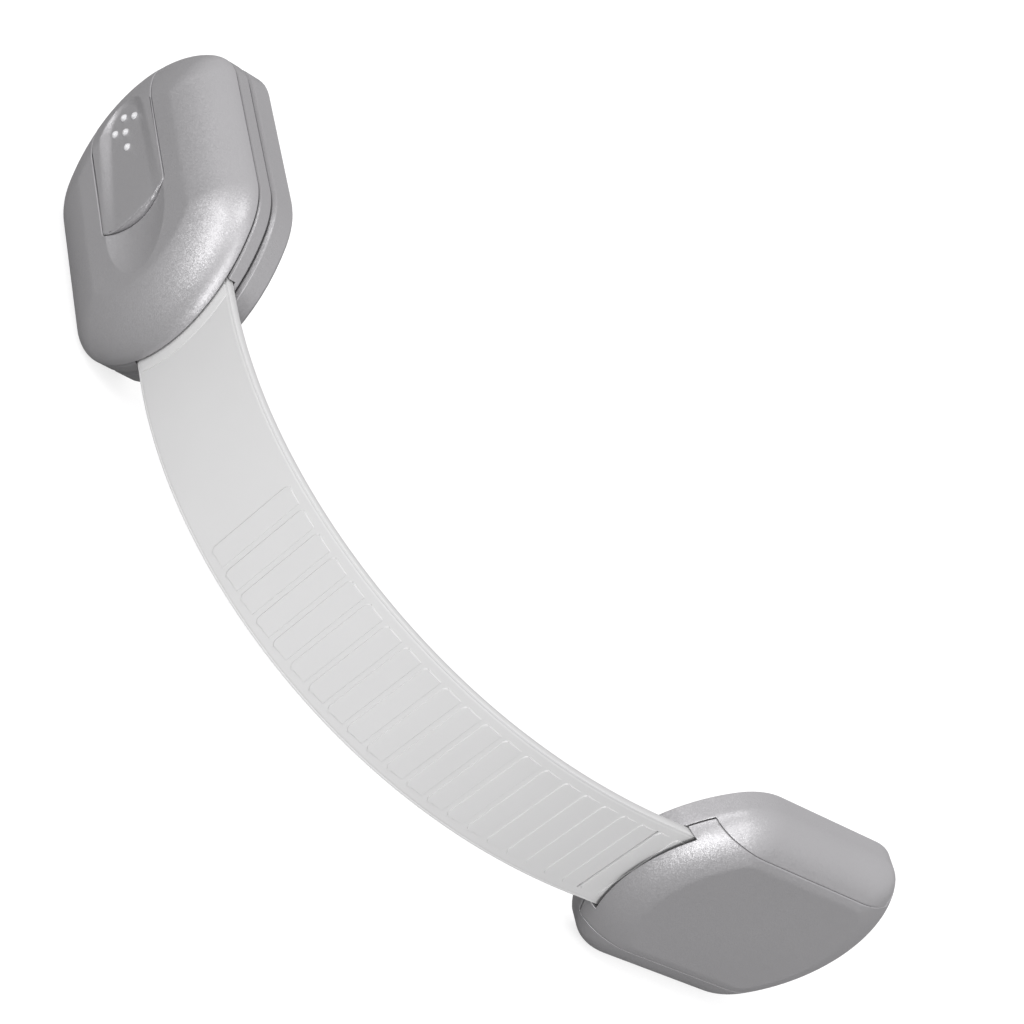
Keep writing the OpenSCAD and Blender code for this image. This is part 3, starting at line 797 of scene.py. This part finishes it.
# %% Copy and smooth the plates
def smooth_copy(node, name, edge=0.0, angle=35):
    """A merged and smoothed copy of a model piece, which stands for it."""
    clear()
    source = nodes[node]
    source.select_set(True)
    bpy.context.view_layer.objects.active = source
    bpy.ops.object.duplicate()
    copy = bpy.context.object
    copy.parent = None
    for key in list(copy.keys()):
        del copy[key]
    copy.name = copy.data.name = name
    hold(copy)
    bpy.ops.object.mode_set(mode="EDIT")
    bpy.ops.mesh.select_all(action="SELECT")
    bpy.ops.mesh.remove_doubles(threshold=0.000002)
    bpy.ops.mesh.dissolve_limited(angle_limit=math.radians(0.5))
    bpy.ops.object.mode_set(mode="OBJECT")
    if edge:
        apply_modifier(
            copy, "BEVEL", width=edge, segments=2, limit_method="ANGLE",
            angle_limit=math.radians(40), use_clamp_overlap=True, loop_slide=False)
    hold(copy)
    bpy.ops.object.shade_smooth_by_angle(angle=math.radians(angle))
    apply_modifier(copy, "WEIGHTED_NORMAL", weight=60, keep_sharp=True)
    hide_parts(node)
    print(copy.name, len(copy.data.polygons), "faces")
    return copy


base_plate = smooth_copy("release_base_plate", "release_base", edge=0.00012)
back_plate = smooth_copy("release_back_plate", "release_back", edge=0.00006)
release_pad = smooth_copy("release_adhesive_pad", "release_pad")
adjuster_pad = smooth_copy("adjuster_adhesive_pad", "adjuster_pad")
latch_plate = smooth_copy("latch_slide", "latch_plate", edge=0.0001)
hooks = smooth_copy("latch_hooks", "base_hooks", edge=0.0001)
pawl = smooth_copy("ratchet_pawl", "strap_pawl")
rivets = smooth_copy("pawl_rivets", "rivets")
screws = smooth_copy("shell_screws", "screws")
hinge_pin = smooth_copy("cover_hinge_pin", "hinge_pin")
for piece, body in (
        (base_plate, "release_base"), (back_plate, "release_head"), (release_pad, "release_base"),
        (adjuster_pad, "adjuster"), (latch_plate, "button"), (hooks, "button"), (pawl, "cover"),
        (rivets, "cover"), (screws, "release_head"), (hinge_pin, "adjuster")):
    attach(piece, body)

# %% [markdown]
# The return spring stands between a wall of the back plate and the latch plate.

# %% Set the return spring
spring = smooth_copy("button_return_spring", "return_spring", angle=60)
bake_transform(spring)


# %% [markdown]
# ## Finishes
# The heads are moulded in a grey with a fine metallic flake. The flake is a Voronoi
# pattern of cells about an eighth of a millimetre wide, which tips the surface a
# little from cell to cell, so a highlight breaks into sparkle. The two plates at the
# back of the release head get a darker copy of the same grey: painted shade that
# darkens their sides and the gap between them. The strap is a soft
# off-white plastic that lets a little light through.

# %% Build the materials
def new_material(name):
    material = bpy.data.materials.new(name)
    material.use_nodes = True
    tree = material.node_tree
    return material, tree, tree.nodes["Principled BSDF"]


def node(tree, kind, **settings):
    made = tree.nodes.new(kind)
    for key, value in settings.items():
        if key in made.inputs:
            made.inputs[key].default_value = value
        else:
            setattr(made, key, value)
    return made


def pearl_grey(name, colour, tilt=0.19):
    material, tree, shader = new_material(name)
    link = tree.links.new
    place = node(tree, "ShaderNodeTexCoord")
    cells = node(tree, "ShaderNodeTexVoronoi", Scale=8500.0)
    fine = node(tree, "ShaderNodeTexNoise", Scale=2600.0, Detail=3.0)
    cloud = node(tree, "ShaderNodeTexNoise", Scale=60.0, Detail=4.0)
    link(place.outputs["Object"], cells.inputs["Vector"])
    link(place.outputs["Object"], fine.inputs["Vector"])
    link(place.outputs["Object"], cloud.inputs["Vector"])
    ramp = node(tree, "ShaderNodeValToRGB")
    ramp.color_ramp.elements[0].position = 0.3
    ramp.color_ramp.elements[0].color = (*[c * 0.985 for c in colour], 1)
    ramp.color_ramp.elements[1].position = 0.7
    ramp.color_ramp.elements[1].color = (*[min(1, c * 1.015) for c in colour], 1)
    link(cloud.outputs["Fac"], ramp.inputs["Fac"])
    link(ramp.outputs["Color"], shader.inputs["Base Color"])
    centred = node(tree, "ShaderNodeVectorMath", operation="SUBTRACT")
    centred.inputs[1].default_value = (0.5, 0.5, 0.5)
    leaning = node(tree, "ShaderNodeVectorMath", operation="SCALE", Scale=tilt)
    surface = node(tree, "ShaderNodeNewGeometry")
    added = node(tree, "ShaderNodeVectorMath", operation="ADD")
    unit = node(tree, "ShaderNodeVectorMath", operation="NORMALIZE")
    link(cells.outputs["Color"], centred.inputs[0])
    link(centred.outputs["Vector"], leaning.inputs[0])
    link(surface.outputs["Normal"], added.inputs[0])
    link(leaning.outputs["Vector"], added.inputs[1])
    link(added.outputs["Vector"], unit.inputs[0])
    bump = node(tree, "ShaderNodeBump", Strength=0.15, Distance=0.00002)
    link(fine.outputs["Fac"], bump.inputs["Height"])
    link(unit.outputs["Vector"], bump.inputs["Normal"])
    link(bump.outputs["Normal"], shader.inputs["Normal"])
    rough = node(tree, "ShaderNodeMapRange")
    rough.inputs["To Min"].default_value = 0.38
    rough.inputs["To Max"].default_value = 0.46
    link(fine.outputs["Fac"], rough.inputs["Value"])
    link(rough.outputs["Result"], shader.inputs["Roughness"])
    shader.inputs["Metallic"].default_value = 0.5
    return material


def soft_plastic(name, colour):
    material, tree, shader = new_material(name)
    link = tree.links.new
    place = node(tree, "ShaderNodeTexCoord")
    cloud = node(tree, "ShaderNodeTexNoise", Scale=90.0, Detail=3.0)
    ramp = node(tree, "ShaderNodeValToRGB")
    ramp.color_ramp.elements[0].color = (*[c * 0.96 for c in colour], 1)
    ramp.color_ramp.elements[1].color = (*colour, 1)
    fine = node(tree, "ShaderNodeTexNoise", Scale=1500.0, Detail=2.0)
    bump = node(tree, "ShaderNodeBump", Strength=0.12, Distance=0.00002)
    link(place.outputs["Object"], cloud.inputs["Vector"])
    link(place.outputs["Object"], fine.inputs["Vector"])
    link(cloud.outputs["Fac"], ramp.inputs["Fac"])
    link(ramp.outputs["Color"], shader.inputs["Base Color"])
    link(fine.outputs["Fac"], bump.inputs["Height"])
    link(bump.outputs["Normal"], shader.inputs["Normal"])
    shader.inputs["Roughness"].default_value = 0.5
    shader.inputs["Specular IOR Level"].default_value = 0.3
    through = node(tree, "ShaderNodeBsdfTranslucent")
    link(ramp.outputs["Color"], through.inputs["Color"])
    both = node(tree, "ShaderNodeMixShader", Fac=0.15)
    link(shader.outputs["BSDF"], both.inputs[1])
    link(through.outputs["BSDF"], both.inputs[2])
    link(both.outputs["Shader"], tree.nodes["Material Output"].inputs["Surface"])
    return material


def speckled(name, colour, roughness, metallic=0.0, scale=900.0, depth=0.2, spread=0.06):
    """A plain finish with fine variation: foam, steel and inner plastic differ in their values."""
    material, tree, shader = new_material(name)
    link = tree.links.new
    place = node(tree, "ShaderNodeTexCoord")
    fine = node(tree, "ShaderNodeTexNoise", Scale=scale, Detail=4.0)
    ramp = node(tree, "ShaderNodeValToRGB")
    ramp.color_ramp.elements[0].position = 0.3
    ramp.color_ramp.elements[0].color = (*[c * (1 - spread) for c in colour], 1)
    ramp.color_ramp.elements[1].position = 0.7
    ramp.color_ramp.elements[1].color = (*[min(1, c * (1 + spread)) for c in colour], 1)
    bump = node(tree, "ShaderNodeBump", Strength=depth, Distance=0.00004)
    link(place.outputs["Object"], fine.inputs["Vector"])
    link(fine.outputs["Fac"], ramp.inputs["Fac"])
    link(ramp.outputs["Color"], shader.inputs["Base Color"])
    link(fine.outputs["Fac"], bump.inputs["Height"])
    link(bump.outputs["Normal"], shader.inputs["Normal"])
    shader.inputs["Roughness"].default_value = roughness
    shader.inputs["Metallic"].default_value = metallic
    return material


grey = pearl_grey("pearl_grey_plastic", (0.405, 0.4, 0.41))
# The plates' darker grey is painted shade on their sides and in the gap between them, not a
# different plastic.
shaded_plate_grey = pearl_grey("pearl_grey_plates_painted_shade", (0.345, 0.341, 0.349))
strap_white = soft_plastic("off_white_strap", (0.655, 0.655, 0.655))
dot_white = speckled("pale_dots", (0.6, 0.6, 0.61), 0.3)
inner = speckled("inner_plastic", (0.3, 0.3, 0.31), 0.5)
steel = speckled("bright_steel", (0.6, 0.6, 0.62), 0.28, metallic=1.0, scale=3000.0)
foam = speckled("white_foam", (0.83, 0.83, 0.8), 0.9, scale=2500.0, depth=0.7)


# %% Paint every piece
def paint(material, *pieces):
    for piece in pieces:
        piece.data.materials.clear()
        piece.data.materials.append(material)


paint(grey, shell, button, tray, lid)
paint(shaded_plate_grey, base_plate, back_plate)
paint(dot_white, dots)
paint(foam, release_pad, adjuster_pad)
paint(inner, latch_plate, hooks, pawl)
paint(steel, rivets, screws, hinge_pin, spring)
paint(strap_white, *[o for o in bpy.data.objects if o.name.startswith("strap_length")])
finish_of = {
    "grey_shell": grey, "inner_plastic": inner, "strap": strap_white, "steel": steel, "foam": foam}
slot_of = {part["node"]: part["material_slot"] for part in frame["record"]["subparts"]}
for name, cad_node in nodes.items():
    if not cad_node.hide_render:
        for slot in cad_node.material_slots:
            slot.material = finish_of[slot_of[name]]
        print("carried over", name, slot_of[name])

# %% [markdown]
# ## Floor and light
# The photograph's ground is plain white, so the floor and the world look white to the
# camera while they light the lock at an ordinary level. Five soft lamps stand where
# the photograph's highlights and bright bands say they are: two on the camera's right,
# of which the low one is the strongest, and three on its left.

# %% Lay the floor
clear()
bpy.ops.mesh.primitive_grid_add(
    x_subdivisions=8, y_subdivisions=8, size=6, location=(-0.05, 0.04, cad_box[0][2]))
floor = named("floor")
white, tree, shader = new_material("white_ground")
shader.inputs["Base Color"].default_value = (0.2, 0.2, 0.2, 1)
shader.inputs["Roughness"].default_value = 1.0
shader.inputs["Specular IOR Level"].default_value = 0.0
glow = node(tree, "ShaderNodeEmission", Strength=0.72)
shade = node(tree, "ShaderNodeBsdfDiffuse", Color=(0.4, 0.4, 0.4, 1))
seen = node(tree, "ShaderNodeAddShader")
tree.links.new(glow.outputs["Emission"], seen.inputs[0])
tree.links.new(shade.outputs["BSDF"], seen.inputs[1])
rays = node(tree, "ShaderNodeLightPath")
both = node(tree, "ShaderNodeMixShader")
tree.links.new(rays.outputs["Is Camera Ray"], both.inputs["Fac"])
tree.links.new(shader.outputs["BSDF"], both.inputs[1])
tree.links.new(seen.outputs["Shader"], both.inputs[2])
tree.links.new(both.outputs["Shader"], tree.nodes["Material Output"].inputs["Surface"])
paint(white, floor)

# %% Hang the lamps
world = bpy.data.worlds.new("studio")
bpy.context.scene.world = world
world.use_nodes = True
tree = world.node_tree
ground = tree.nodes["Background"]
ground.inputs["Color"].default_value = (1.0, 0.99, 1.0, 1)
ground.inputs["Strength"].default_value = 0.84
bright = node(tree, "ShaderNodeBackground", Strength=1.0)
rays = node(tree, "ShaderNodeLightPath")
either = node(tree, "ShaderNodeMath", operation="MAXIMUM")
tree.links.new(rays.outputs["Is Camera Ray"], either.inputs[0])
tree.links.new(rays.outputs["Is Transmission Ray"], either.inputs[1])
both = node(tree, "ShaderNodeMixShader")
tree.links.new(either.outputs["Value"], both.inputs["Fac"])
tree.links.new(ground.outputs["Background"], both.inputs[1])
tree.links.new(bright.outputs["Background"], both.inputs[2])
tree.links.new(both.outputs["Shader"], tree.nodes["World Output"].inputs["Surface"])


def lamp(name, towards, along_line, distance, size, power):
    """A soft lamp that looks at the lock's middle, with its long side along a line."""
    middle = Vector((-0.045, 0.035, 0))
    z = Vector(towards).normalized()
    y = Vector(along_line)
    y = (y - z * y.dot(z)).normalized()
    clear()
    bpy.ops.object.light_add(type="AREA", location=middle + z * distance)
    made = bpy.context.object
    made.name = name
    made.rotation_euler = Matrix((y.cross(z), y, z)).transposed().to_euler()
    made.data.shape = "RECTANGLE"
    made.data.size, made.data.size_y = size
    made.data.energy = power
    return made


facing = (-0.637, -0.632, 0.441)
for name, towards, size, power in (
        ("low_right_lamp", (-0.18, -0.97, 0.12), (0.28, 0.28), 3.2),
        ("high_right_lamp", (-0.22, -0.77, 0.6), (0.28, 0.36), 1.3),
        ("low_left_lamp", (-1.0, -0.01, 0.05), (0.28, 0.28), 2.6),
        ("high_left_lamp", (-0.68, -0.09, 0.72), (0.4, 0.3), 1.95),
        ("left_edge_lamp", (-0.93, 0.33, 0.14), (0.26, 0.26), 0.74)):
    lamp(name, towards, facing, 0.9, size, power)

# %% Finish the scene
scene = bpy.context.scene
scene.view_settings.view_transform = "Standard"
